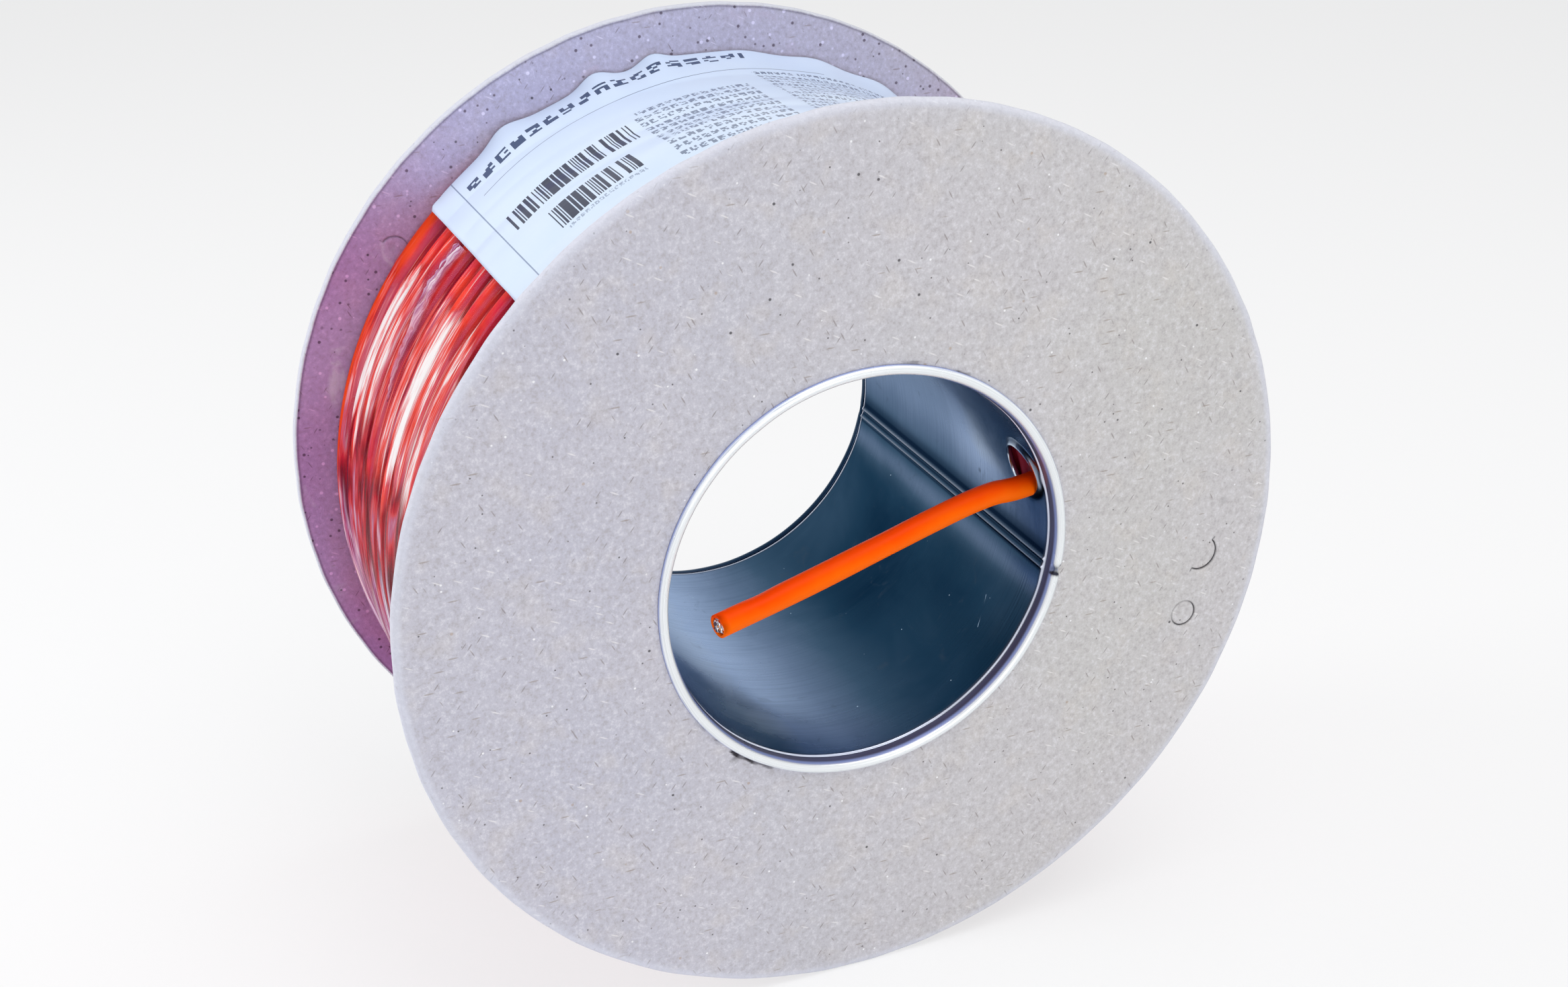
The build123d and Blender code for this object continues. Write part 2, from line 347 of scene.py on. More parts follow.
def rolled_tinplate():
    """Thin tinned steel: its tone goes from navy to pale blue-grey round the wall, with smudges, lines and a scratch.

    The curled rims are bright, with fine lines along them. The tone round the wall is painted reflection, with the
    tail's painted shadow in it. The crease where the wall flares and the seam's crests carry painted highlights,
    the front bead's inner edge a painted blue reflection and the front land a painted dark mauve reflection. The
    seam's folds, the edges of the groove, the back land and the hole's surround carry painted shade.
    """
    finish, tree, shader, coordinates = start_finish("rolled_tinplate")
    place = coordinates.outputs["Object"]
    smudges = cloud(tree, place, 22.0, 4.0, 0.6, 0.6)
    lines = cloud(tree, stretched(tree, place, (1.0, 46.0, 1.0)), 30.0, 3.0)
    # Painted reflections: the tone carries what the wall reflects, from navy to pale blue-grey.
    tone = sum_of(tree, "MULTIPLY_ADD", sum_of(tree, "SUBTRACT", smudges, 0.5), 0.16, share_of(tree, "tone"))
    colour = palette(tree, tone, (
        (0.12, (0.0015, 0.0144, 0.038)),
        (0.20, (0.012, 0.040, 0.078)),
        (0.30, (0.045, 0.090, 0.150)),
        (0.45, (0.140, 0.200, 0.310)),
        (0.70, (0.380, 0.490, 0.700)),
        (0.95, (0.800, 0.900, 1.000)),
    ))
    colour = blend(tree, ramp(tree, lines, 0.40, 0.70, 0.0, 0.13), colour, (0.02, 0.04, 0.075, 1))
    rubbed = ramp(tree, cloud(tree, place, 95.0, 5.0, 0.65, 1.4), 0.60, 0.72, 0.0, 0.22)
    colour = blend(tree, rubbed, colour, (0.05, 0.07, 0.10, 1))
    specks = speckle(tree, place, 210.0, 0.07, 0.16)
    colour = blend(tree, specks, colour, (0.42, 0.55, 0.68, 1))
    stains = speckle(tree, place, 60.0, 0.10, 0.10)
    colour = blend(tree, sum_of(tree, "MULTIPLY", stains, 0.6), colour, (0.02, 0.03, 0.045, 1))
    scratch = line_mark(tree, place, (57.6, -46.0, 117.9), (52.0, -51.2, 109.4), 0.20 * mm)
    colour = blend(tree, sum_of(tree, "MULTIPLY", scratch, 0.7), colour, (0.45, 0.60, 0.78, 1))
    # Painted shade: near black in the seam's folds, beside the groove, on the back land and round the hole.
    colour = blend(tree, share_of(tree, "fold_shade"), colour, (0.006, 0.012, 0.03, 1))
    # Painted reflection: the front land is a dull dark mauve.
    colour = blend(tree, share_of(tree, "land"), colour, (0.115, 0.10, 0.17, 1))
    # Painted reflection: a blue-lilac band at the front bead's inner edge.
    colour = blend(tree, share_of(tree, "sheen"), colour, (0.36, 0.44, 0.80, 1))
    # Painted highlights: the bright line at the groove and along the seam's crests.
    colour = blend(tree, share_of(tree, "glint"), colour, (0.80, 0.84, 0.98, 1))
    girth = sum_of(tree, "MULTIPLY", share_of(tree, "girth"), 1600.0)
    rings = add_node(tree, "ShaderNodeTexNoise", {"W": girth, "Detail": 2.0}, noise_dimensions="1D").outputs[0]
    bright = blend(tree, ramp(tree, rings, 0.34, 0.60), (0.68, 0.71, 0.73, 1), (0.94, 0.97, 0.98, 1))
    colour = blend(tree, share_of(tree, "rim"), colour, bright)
    colour = blend(tree, share_of(tree, "cut"), colour, (0.02, 0.02, 0.035, 1))
    rough = ramp(tree, smudges, 0.3, 0.75, 0.20, 0.32)
    relief = sum_of(tree, "ADD", sum_of(tree, "MULTIPLY", lines, 0.4), cloud(tree, place, 9.0, 2.0))
    # The painted highlights and reflections are made less metallic, so that they keep their colour.
    dull = sum_of(tree, "MAXIMUM", share_of(tree, "sheen"), share_of(tree, "glint"))
    dull = sum_of(tree, "MAXIMUM", dull, share_of(tree, "land"))
    cloudy = sum_of(tree, "MULTIPLY_ADD", dull, -0.75, 1.0)
    feed(tree, shader, Base_Color=colour, Metallic=cloudy, Roughness=rough, Specular_Tint=(0.5, 0.56, 0.64, 1))
    feed(tree, shader, Normal=bumped(tree, relief, 0.06, 1.2 * mm))
    return finish


def drawn_jacket():
    """The tail's extruded orange jacket: satin, redder along its top, with fine grain and dust."""
    finish, tree, shader, coordinates = start_finish("drawn_jacket")
    place = coordinates.outputs["Object"]
    tone = cloud(tree, place, 55.0, 3.0)
    # Painted shade: the jacket is redder and darker along its top, more orange underneath.
    under = sum_of(tree, "MULTIPLY_ADD", sum_of(tree, "SUBTRACT", tone, 0.5), 0.5, share_of(tree, "under"))
    colour = blend(tree, ramp(tree, under, -0.08, 0.62), (1.0, 0.060, 0.0, 1), (1.0, 0.142, 0.0, 1))
    dust = ramp(tree, cloud(tree, place, 420.0, 4.0, 0.7), 0.64, 0.82, 0.0, 0.04)
    colour = blend(tree, dust, colour, (0.95, 0.36, 0.14, 1))
    rough = ramp(tree, tone, 0.3, 0.7, 0.34, 0.46)
    grain = cloud(tree, place, 800.0, 3.0)
    feed(tree, shader, Base_Color=colour, Roughness=rough, Normal=bumped(tree, grain, 0.10, 0.15 * mm))
    feed(tree, shader, Specular_IOR_Level=0.05)
    return finish


def wound_jacket():
    """The same jacket on the drum: orange on the bare turn, red under the film, crimson down between the turns."""
    finish, tree, shader, coordinates = start_finish("wound_jacket")
    place = coordinates.outputs["Object"]
    tone = cloud(tree, place, 60.0, 3.0)
    red = blend(tree, ramp(tree, tone, 0.36, 0.64), (0.96, 0.058, 0.020, 1), (0.70, 0.010, 0.050, 1))
    # Painted shade: dark crimson down in the valleys between the turns and over the bore.
    colour = blend(tree, share_of(tree, "valley_shade"), red, (0.22, 0.004, 0.040, 1))
    colour = blend(tree, share_of(tree, "bare"), colour, (0.94, 0.065, 0.002, 1))
    grain = cloud(tree, place, 700.0, 3.0)
    feed(tree, shader, Base_Color=colour, Roughness=0.40, Normal=bumped(tree, grain, 0.10, 0.15 * mm))
    feed(tree, shader, Specular_IOR_Level=0.1)
    return finish


def stretch_film():
    """Thin film over the turns, coloured by streaks that run along them; beside the label it is clear between them.

    On the flank the streaks go from crimson by red and salmon to white, the white being painted highlight on
    whitened film; dark mauve streaks there are a painted reflection. Below it dark drops lie between lilac and coral
    folds as painted reflections, and on the underside the film is bunched, pink and white. Where the film is clear,
    the hollows between the turns carry painted shade.
    """
    finish, tree, shader, coordinates = start_finish("stretch_film")
    flat = coordinates.outputs["UV"]
    broad = cloud(tree, stretched(tree, flat, (16.0, 170.0, 1.0)), 1.0, 3.0, 0.55, 0.6)
    pulled = cloud(tree, stretched(tree, flat, (26.0, 420.0, 1.0)), 1.0, 3.0, 0.6, 0.9)
    fine = cloud(tree, stretched(tree, flat, (60.0, 1300.0, 1.0)), 1.0, 2.0, 0.6, 0.5)
    streaks = sum_of(tree, "MULTIPLY_ADD", pulled, 0.45, sum_of(tree, "MULTIPLY", broad, 0.27))
    streaks = sum_of(tree, "MULTIPLY_ADD", fine, 0.28, streaks)
    contrast = sum_of(tree, "MULTIPLY_ADD", streaks, 4.3, -2.15)
    painted_highlight = share_of(tree, "painted_highlight")
    bunch = share_of(tree, "bunch")
    painted_drops = share_of(tree, "painted_drops")
    sink_shade = share_of(tree, "sink_shade")
    # Painted highlights lift the streaks towards white and make the film more opaque there.
    level = sum_of(tree, "MULTIPLY_ADD", painted_highlight, 0.62, sum_of(tree, "ADD", contrast, 0.34))
    flank = palette(tree, level, (
        (0.00, (0.26, 0.004, 0.035)),
        (0.18, (0.50, 0.010, 0.026)),
        (0.34, (0.82, 0.042, 0.014)),
        (0.50, (0.84, 0.110, 0.100)),
        (0.64, (0.88, 0.290, 0.300)),
        (0.76, (0.94, 0.660, 0.660)),
        (0.90, (0.98, 0.950, 0.950)),
    ))
    # Painted reflection: dark mauve streaks over the darker parts of the flank.
    lilac = cloud(tree, stretched(tree, flat, (14.0, 260.0, 1.0)), 1.0, 2.0, 0.5, 0.4)
    lilac = ramp(tree, lilac, 0.55, 0.66, 0.0, 0.75)
    low = ramp(tree, level, 0.62, 0.40)
    flank = blend(tree, sum_of(tree, "MULTIPLY", lilac, low), flank, (0.42, 0.12, 0.23, 1))
    # Painted reflections: dark drops between lilac and coral folds on the low belt.
    drops = cloud(tree, stretched(tree, flat, (30.0, 105.0, 1.0)), 1.0, 2.0, 0.5, 0.5)
    drops = sum_of(tree, "MULTIPLY_ADD", drops, 1.9, sum_of(tree, "MULTIPLY_ADD", contrast, 0.30, -0.56))
    folds = palette(tree, drops, (
        (0.24, (0.13, 0.001, 0.010)),
        (0.38, (0.34, 0.002, 0.014)),
        (0.48, (0.52, 0.012, 0.028)),
        (0.56, (0.66, 0.070, 0.080)),
        (0.64, (0.46, 0.110, 0.220)),
        (0.80, (0.84, 0.500, 0.600)),
    ))
    gathers = palette(tree, sum_of(tree, "ADD", contrast, 0.56), (
        (0.10, (0.26, 0.008, 0.050)),
        (0.28, (0.42, 0.090, 0.200)),
        (0.46, (0.46, 0.230, 0.420)),
        (0.66, (0.70, 0.500, 0.680)),
        (0.86, (0.96, 0.910, 0.960)),
    ))
    colour = blend(tree, painted_drops, flank, folds)
    colour = blend(tree, bunch, colour, gathers)
    # Painted shade: where the film is clear it is darker crimson in the hollows between the turns.
    colour = blend(tree, sum_of(tree, "MULTIPLY", sink_shade, share_of(tree, "bare")), colour, (0.50, 0.06, 0.13, 1))
    cover = ramp(tree, painted_highlight, 0.02, 0.25, 0.10, 0.86)
    for share, strength in ((painted_drops, 0.88), (bunch, 0.92), (sink_shade, 0.50)):
        cover = sum_of(tree, "MAXIMUM", cover, sum_of(tree, "MULTIPLY", share, strength))
    cover = sum_of(tree, "MAXIMUM", cover, ramp(tree, contrast, 0.06, 0.45, 0.0, 0.42))
    relief = sum_of(tree, "MULTIPLY_ADD", fine, 0.35, pulled)
    feed(tree, shader, Base_Color=colour, Alpha=cover, Roughness=0.22, Specular_IOR_Level=0.05)
    feed(tree, shader, Normal=bumped(tree, relief, 0.7, 0.7 * mm))
    feed(tree, shader, Coat_Weight=0.05, Coat_Roughness=0.08, Coat_IOR=1.5)
    return finish


def label_paper():
    """White coated sheet with plain print: two blocks of bars, thin rules and rows of blots that spell nothing."""
    finish, tree, shader, coordinates = start_finish("label_paper")
    flat = coordinates.outputs["UV"]
    spot = add_node(tree, "ShaderNodeSeparateXYZ", {0: flat})
    along = spot.outputs[0]
    level = sum_of(tree, "MULTIPLY_ADD", along, -0.115, spot.outputs[1])

    def within(value, low, high):
        """1 between low and high, 0 outside."""
        after = sum_of(tree, "GREATER_THAN", value, low)
        return sum_of(tree, "MULTIPLY", after, sum_of(tree, "LESS_THAN", value, high))

    def box(left, right, low, high):
        """1 inside an upright box of the print."""
        return sum_of(tree, "MULTIPLY", within(along, left, right), within(level, low, high))

    def bars(width):
        """Upright bars of random thickness, as a code has them, that spell nothing."""
        steps = sum_of(tree, "FLOOR", sum_of(tree, "DIVIDE", along, width))
        chance = add_node(tree, "ShaderNodeTexWhiteNoise", {"W": steps}, noise_dimensions="1D").outputs[0]
        return sum_of(tree, "GREATER_THAN", chance, 0.34)

    def small_print(pitch):
        """Rows of small square blots that stand for print and spell nothing, with gaps as between words."""
        row = sum_of(tree, "DIVIDE", level, pitch)
        high = sum_of(tree, "MULTIPLY_ADD", sum_of(tree, "FRACT", row), 8.0, -1.6)
        across = sum_of(tree, "MULTIPLY", along, 6.4 / pitch)
        cell = sum_of(tree, "FLOOR", across)
        in_letter = sum_of(tree, "LESS_THAN", sum_of(tree, "MODULO", cell, 4.0), 2.5)
        grid = {0: cell, 1: sum_of(tree, "FLOOR", high), 2: sum_of(tree, "FLOOR", row)}
        chosen = add_node(tree, "ShaderNodeCombineXYZ", grid).outputs[0]
        chance = add_node(tree, "ShaderNodeTexWhiteNoise", {"Vector": chosen}).outputs["Value"]
        inked = sum_of(tree, "MULTIPLY", sum_of(tree, "GREATER_THAN", chance, 0.36), within(high, 0.0, 5.0))
        words = sum_of(tree, "MULTIPLY", along, 0.42 / pitch)
        gaps = add_node(tree, "ShaderNodeCombineXYZ", {0: words, 1: sum_of(tree, "FLOOR", row), 2: 7.0}).outputs[0]
        word = ramp(tree, cloud(tree, gaps, 1.0, 1.0), 0.38, 0.41)
        return sum_of(tree, "MULTIPLY", sum_of(tree, "MULTIPLY", inked, in_letter), word)

    tint = cloud(tree, flat, 40.0, 2.0)
    colour = blend(tree, tint, (0.69, 0.79, 0.94, 1), (0.60, 0.72, 0.92, 1))
    for left, right, low, high, width in label_bars:
        ink = sum_of(tree, "MULTIPLY", box(left, right, low, high), bars(width))
        colour = blend(tree, ink, colour, (0.002, 0.009, 0.04, 1))
    for left, right, low, high, pitch, strength in label_text:
        ink = sum_of(tree, "MULTIPLY", box(left, right, low, high), small_print(pitch))
        colour = blend(tree, sum_of(tree, "MULTIPLY", ink, strength), colour, (0.02, 0.045, 0.12, 1))
    for left, right, low, high in label_rules:
        rule = sum_of(tree, "MULTIPLY", box(left, right, low, high), 0.8)
        colour = blend(tree, rule, colour, (0.06, 0.09, 0.18, 1))
    edge_rule = within(along, cross_rule, cross_rule + 0.45 * mm)
    colour = blend(tree, sum_of(tree, "MULTIPLY", edge_rule, 0.75), colour, (0.10, 0.15, 0.28, 1))
    relief = cloud(tree, stretched(tree, flat, (30.0, 130.0, 1.0)), 1.0, 3.0)
    feed(tree, shader, Base_Color=colour, Roughness=0.36, Normal=bumped(tree, relief, 0.25, 0.6 * mm))
    feed(tree, shader, Specular_IOR_Level=0.35, Coat_Weight=0.25, Coat_Roughness=0.10)
    return finish


def plain_finish(name, colour, roughness, metallic=0.0, grain=900.0):
    """A small part's finish: one tone with a fine mottle and relief."""
    finish, tree, shader, coordinates = start_finish(name)
    mottle = cloud(tree, coordinates.outputs["Object"], grain, 3.0)
    dark = tuple(0.55 * part for part in colour[:3]) + (1,)
    tone = blend(tree, ramp(tree, mottle, 0.35, 0.65), colour, dark)
    feed(tree, shader, Base_Color=tone, Roughness=roughness, Metallic=metallic)
    feed(tree, shader, Normal=bumped(tree, mottle, 0.4, 0.2 * mm))
    return finish


# Print of the label: along from its left edge, and up from its near edge with the print's lean taken off
cross_rule = 10.2 * mm
label_bars = (
    (15.4 * mm, 64.6 * mm, 72.0 * mm, 86.5 * mm, 0.43 * mm),
    (24.4 * mm, 57.0 * mm, 49.0 * mm, 63.5 * mm, 0.41 * mm),
)
label_text = (
    (13.0 * mm, 122.0 * mm, 117.7 * mm, 128.3 * mm, 10.7 * mm, 0.95),
    (68.0 * mm, 112.0 * mm, 42.0 * mm, 94.0 * mm, 5.2 * mm, 0.75),
    (120.0 * mm, 196.0 * mm, 40.0 * mm, 108.0 * mm, 4.2 * mm, 0.75),
    (25.0 * mm, 57.0 * mm, 45.0 * mm, 48.0 * mm, 3.0 * mm, 0.5),
)
label_rules = ((15.6 * mm, 150.0 * mm, 110.6 * mm, 111.0 * mm), (150.0 * mm, 196.0 * mm, 30.0 * mm, 30.4 * mm))

board = pressed_board()
tinplate = rolled_tinplate()
tail_finish = drawn_jacket()
wound_finish = wound_jacket()
film = stretch_film()
paper = label_paper()
braid_wire = plain_finish("braid_wire", (0.80, 0.80, 0.84, 1), 0.28, 1.0, 1600.0)
pair_foil = plain_finish("pair_foil", (0.86, 0.86, 0.92, 1), 0.22, 1.0, 700.0)
copper_core = plain_finish("copper_core", (0.70, 0.32, 0.16, 1), 0.30, 1.0)
core_skin = plain_finish("core_skin", (0.10, 0.05, 0.09, 1), 0.45)


# Flanges
def tuck_cuts(radius, angle, slit_angle, pitch_radius, slit_radius, slit_ends, plug_share):
    """Depth share of the stamped cuts: near the slit's arc, a tick across each of its ends, and the plug's ring."""
    plug_radius = 4.5 * mm
    plug_from_slit = np.radians(10.25)
    fade = 0.05

    def from_middle(middle):
        """Place from a point of the pitch circle: outwards, then against the angle."""
        return radius * np.cos(middle - angle) - pitch_radius, radius * np.sin(middle - angle)

    out, aside = from_middle(slit_angle)
    bearing = np.arctan2(aside, out)
    width = (0.22 + 0.16 * hump(bearing, np.radians(-35), 0.9)) * mm
    on_arc = settle(bearing, slit_ends[0], slit_ends[0] + fade)
    on_arc = on_arc * settle(-bearing, -slit_ends[1], fade - slit_ends[1])
    depth = hump(np.hypot(out, aside), slit_radius, width) * on_arc
    for end in slit_ends:
        past = out * np.cos(end) + aside * np.sin(end) - slit_radius
        beside = aside * np.cos(end) - out * np.sin(end)
        tick = hump(beside, 0, 0.2 * mm) * settle(past, -0.4 * mm, 0.1 * mm) * settle(-past, -1.7 * mm, -1.2 * mm)
        depth = np.maximum(depth, 0.7 * tick)
    out, aside = from_middle(slit_angle + plug_from_slit)
    # Painted shadow: the plug's ring is darker on one side than the other, as where its edge casts shade.
    strength = 0.35 + 0.65 * settle(np.cos(np.arctan2(aside, out) + 0.5), -0.7, 0.5)
    ring = hump(np.hypot(out, aside), plug_radius, 0.27 * mm) * strength * plug_share
    return np.maximum(depth, ring)


def chipped(angle, radius):
    """Dark torn spots of the board beside the bead: two short runs round the bore, broken up by ripples."""
    low_run = hump(turned(angle, np.radians(-142)), 0, np.radians(13))
    top_run = hump(turned(angle, np.radians(19)), 0, np.radians(9))
    broken = settle(ripple(angle, 0 * radius, 21, 60, 1.0, 12), -0.15, 0.25)
    ragged = bead_radius + 0.7 * mm + 0.6 * mm * ripple(angle, 0 * radius, 22, 80, 1.0, 9)
    return np.maximum(low_run, top_run) * broken * (1 - settle(radius, ragged, ragged + 0.4 * mm))


def board_flange(node, slit_angle):
    """A disc whose section (face, quarter-round edge, rim, edge, face, bore) is carried round the axis.

    The face towards -Y carries the stamped cuts, on the back flange a faint slit alone. The whole board waves a little
    and its rim is slightly uneven. On the back flange that face carries painted reflected light from the cable that
    it stands beside, less so where the label's white edge is next to it. The rounded edge carries a painted
    highlight, and on the back flange a painted shade line lies in the crease before it.
    """
    low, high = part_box(node)
    behind = low.y > 0
    edge = (0.8 if behind else 1.55) * mm
    bend = np.linspace(0, np.pi / 2, 7)
    face_end = flange_radius - edge
    pitch_radius = (133.9 if behind else 125.4) * mm
    slit_radius = (4.9 if behind else 5.9) * mm
    slit_ends = np.radians((-160.0, -8.0) if behind else (-113.0, 53.0))
    cut_band = (pitch_radius - 7.9 * mm, pitch_radius + 8.1 * mm)
    near_bead = 71.5 * mm
    face = np.concatenate([
        np.linspace(board_bore, near_bead, 14),
        np.linspace(near_bead, cut_band[0], 20)[1:],
        np.linspace(*cut_band, 66)[1:],
        np.linspace(cut_band[1], face_end - 1.6 * mm, 5)[1:],
        face_end + np.array([-1.0, -0.6, -0.3, 0.0]) * mm,
    ])
    plain = np.linspace(face_end, board_bore, 12)
    section_radius = np.concatenate([
        face,
        face_end + edge * np.sin(bend)[1:],
        face_end + edge * np.cos(bend),
        plain[1:],
    ])
    section_along = np.concatenate([
        np.full(len(face), low.y),
        low.y + edge * (1 - np.cos(bend))[1:],
        high.y - edge * (1 - np.sin(bend)),
        np.full(len(plain) - 1, high.y),
    ])
    cut_span = np.radians((slit_angle - 6.5, slit_angle + 14.5))
    angle = np.concatenate([
        np.linspace(*cut_span, 176)[:-1],
        np.linspace(cut_span[1], cut_span[0] + turn, 330)[:-1],
    ])[:, None]
    radius = section_radius[None, :]
    near_rim = settle(radius, flange_radius - 6 * mm, flange_radius)
    on_face = section_along[None, :] <= low.y + 0.01 * mm
    uneven = 0.14 * mm * ripple(angle, 0 * radius, 3, 70, 1.0, 14) + 0.1 * mm * ripple(angle, 0 * radius, 5, 9, 1.0)
    wave = 0.10 * mm * ripple(angle, radius, 7, 5, 90 * mm)
    cut = tuck_cuts(radius, angle, np.radians(slit_angle), pitch_radius, slit_radius, slit_ends, not behind)
    cut = cut * on_face * (0.5 if behind else 1.0)
    along = section_along[None, :] + wave + 0.5 * mm * cut
    points = ring_points(radius + uneven * near_rim, angle, along, axis_height)
    chip = chipped(angle, radius) * on_face * (low.y < 0)
    # Painted highlight on the rounded edge: wide on the front flange, narrow on the back one.
    rim_start = face_end - (0.0 if behind else 2.4) * mm
    rim = settle(radius, rim_start, face_end + 0.5 * mm) + 0 * angle
    # Painted shade: a thin dark line in the crease where the back flange's face meets its rounded edge.
    crease = 0.5 * behind * hump(radius, face_end - 0.3 * mm, 0.3 * mm) * on_face
    # Painted reflected light from the cable on the back flange's inner face, less beside the label's white edge.
    inner = settle(radius, 100 * mm, 122 * mm) * (1 - rim) * on_face * behind
    bare = 1 - 0.88 * settle(-np.abs(turned(angle, np.radians(4))), np.radians(-68), np.radians(-30))
    painted_cable_bounce = inner * bare * (0.86 + 0.14 * ripple(angle, radius, 11, 12, 40 * mm))
    dark = np.maximum(np.maximum(np.clip(1.15 * cut, 0, 1), chip), crease)
    shares = {"cut": dark, "rim": rim, "painted_cable_bounce": painted_cable_bounce, "shaded": inner + 0 * angle}
    quads = grid_quads(*points.shape[:2], closed_rows=True, closed_columns=True)
    piece = make_piece(node.replace("flange", "board"), points, quads, board, shares)
    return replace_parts(piece, node)


board_flange("front_flange", 97.75)
board_flange("back_flange", -55.0)


# Core tube
def core_tube():
    """Sheet wall with its curled rims: one section carried round the axis, a lock seam, and a drawn hole.

    The section runs from the back rim to the front one: an arc over the roll, a flare, a groove, the wall and back.
    The seam is two bell-shaped ridges along the wall. Round the hole a ring of quads goes from a square window of
    the grid to the hole's circle, and the wall rises towards the axis as a bell curve of the distance from that
    circle. The sheet's tone of painted reflection, its folds of painted shade and its painted highlight lines go by
    the angle and the place along the axis.
    """
    hole_angle = np.radians(72.5)
    hole_along = -58.6 * mm
    hole_radius = 9.2 * mm
    window = 24
    window_half = 11.6 * mm
    window_angles = hole_angle + np.linspace(-window_half, window_half, window + 1) / core_radius
    window_alongs = np.linspace(-69.0 * mm, -47.0 * mm, window + 1)
    flare_end = 70.6 * mm
    flare_foot = 66.15 * mm
    groove_end = 69.1 * mm
    roll = np.linspace(0, np.pi - 0.45, 15)
    roll_radius = land_radius + curl_radius * (1 + np.cos(roll))
    roll_along = curl_base + curl_radius * np.sin(roll)
    flare_along = np.linspace(roll_along[-1], flare_end, 16)[1:]
    flared = (flare_along - flare_end) / (roll_along[-1] - flare_end)
    flare_radius = flare_foot + (roll_radius[-1] - flare_foot) * flared**2
    groove_along = np.linspace(flare_end, groove_end, 16)[1:]
    groove_radius = core_radius + 0.15 * mm * settle(groove_along, 69.2 * mm, 69.7 * mm)
    groove_radius = groove_radius + 0.42 * mm * hump(groove_along, 69.9 * mm, 0.33 * mm)
    end_radius = np.concatenate([roll_radius, flare_radius, groove_radius])
    end_along = np.concatenate([roll_along, flare_along, groove_along])
    wall_along = np.concatenate([np.array([68.8, 68.5, 68.2, 67.9]), np.linspace(67.5, -47.0, 11)[:-1]]) * mm
    section_along = np.concatenate([end_along, wall_along, window_alongs[::-1], -end_along[::-1]])
    wall_radius = np.full(len(wall_along) + window + 1, core_radius)
    section_radius = np.concatenate([end_radius, wall_radius, end_radius[::-1]])
    seam_fan = seam_angle + np.linspace(-6.3 * mm, 4.5 * mm, 73) / core_radius
    gap_fan = np.linspace(window_angles[-1], seam_fan[0], 10)[1:-1]
    rest_fan = np.linspace(seam_fan[-1], window_angles[0] + turn, 270)[1:-1]
    angle = np.concatenate([window_angles, gap_fan, seam_fan, rest_fan])

    def shaped(radius, angle, along):
        """Radius with the seam's ridges, the bead's joint and the hole's lip."""
        beside = turned(angle, seam_angle) * core_radius
        on_wall = 1 - settle(np.abs(along), 69.0 * mm, 69.8 * mm)
        ridges = hump(beside, -1.45 * mm, 0.62 * mm) + 0.85 * hump(beside, 1.5 * mm, 0.55 * mm)
        overlap = 0.22 * mm * settle(beside, -0.4 * mm, 0.4 * mm) * (1 - settle(beside, 3.5 * mm, 9 * mm))
        wall = radius - on_wall * (0.6 * mm * ridges + overlap)
        on_roll = settle(np.abs(along), curl_base - 0.4 * mm, curl_base + 0.2 * mm)
        joint = hump(beside, 0.3 * mm, 1.2 * mm)
        wall = wall + on_roll * joint * 0.62 * (land_radius + curl_radius - radius)
        off_hole = np.hypot(turned(angle, hole_angle) * core_radius, along - hole_along) - hole_radius
        return wall - 1.5 * mm * hump(np.maximum(off_hole, 0), 0, 1.15 * mm)

    def places(radius, angle, along):
        """Points with the small unevenness of rolled sheet; the bead also dips at its joint."""
        dent = hump(turned(angle, seam_angle) * core_radius, 0.3 * mm, 1.1 * mm)
        past = np.abs(along) - curl_base
        dipped = along - np.sign(along) * np.maximum(past, 0) * 0.6 * dent
        uneven = 0.05 * mm * ripple(angle, along, 31, 26, 60 * mm)
        return ring_points(shaped(radius, angle, along) + uneven, angle, dipped, axis_height)

    rows, columns = np.meshgrid(angle, section_along, indexing="ij")
    wall_points = places(section_radius[None, :], rows, columns)
    wall_quads = grid_quads(*wall_points.shape[:2], closed_rows=True)
    first_column = len(end_along) + len(wall_along)
    keep = np.ones(wall_quads.shape[:2], dtype=bool)
    keep[:window, first_column:first_column + window] = False
    side = np.arange(window)
    ring_i = np.concatenate([side, np.full(window, window), window - side, np.zeros(window, dtype=int)])
    ring_j = np.concatenate([np.zeros(window, dtype=int), side, np.full(window, window), window - side])
    beside_hole = turned(window_angles[ring_i], hole_angle) * core_radius
    outer = np.stack([beside_hole, window_alongs[::-1][ring_j] - hole_along], axis=-1)
    bearing = np.arctan2(outer[:, 1], outer[:, 0])
    circle = hole_radius * np.stack([np.cos(bearing), np.sin(bearing)], axis=-1)
    inwards = np.linspace(0, 1, 12)[None, :, None] ** 0.6
    around = outer[:, None, :] * (1 - inwards) + circle[:, None, :] * inwards
    collar_angle = hole_angle + around[..., 0] / core_radius
    collar = places(core_radius, collar_angle, hole_along + around[..., 1])
    lip_share = np.array([0.985, 0.965, 0.955, 0.955])[None, :]
    lip_radius = core_radius + np.array([-1.62, -1.45, -0.8, 0.35])[None, :] * mm
    lip_angle = hole_angle + circle[:, None, 0] * lip_share / core_radius
    lip = ring_points(lip_radius, lip_angle, hole_along + circle[:, None, 1] * lip_share, axis_height)
    collar = np.concatenate([collar, lip], axis=1)
    wall_points = wall_points.reshape(-1, 3)
    collar_quads = grid_quads(*collar.shape[:2], closed_rows=True, first=len(wall_points))
    points = np.concatenate([wall_points, collar.reshape(-1, 3)])
    quads = np.concatenate([wall_quads[keep], collar_quads.reshape(-1, 4)])
    at_angle = np.arctan2(points[:, 0], points[:, 2] - axis_height)
    at_radius = np.hypot(points[:, 0], points[:, 2] - axis_height)
    at_end = np.abs(points[:, 1])
    behind = points[:, 1] > 0
    beside = turned(at_angle, seam_angle) * core_radius
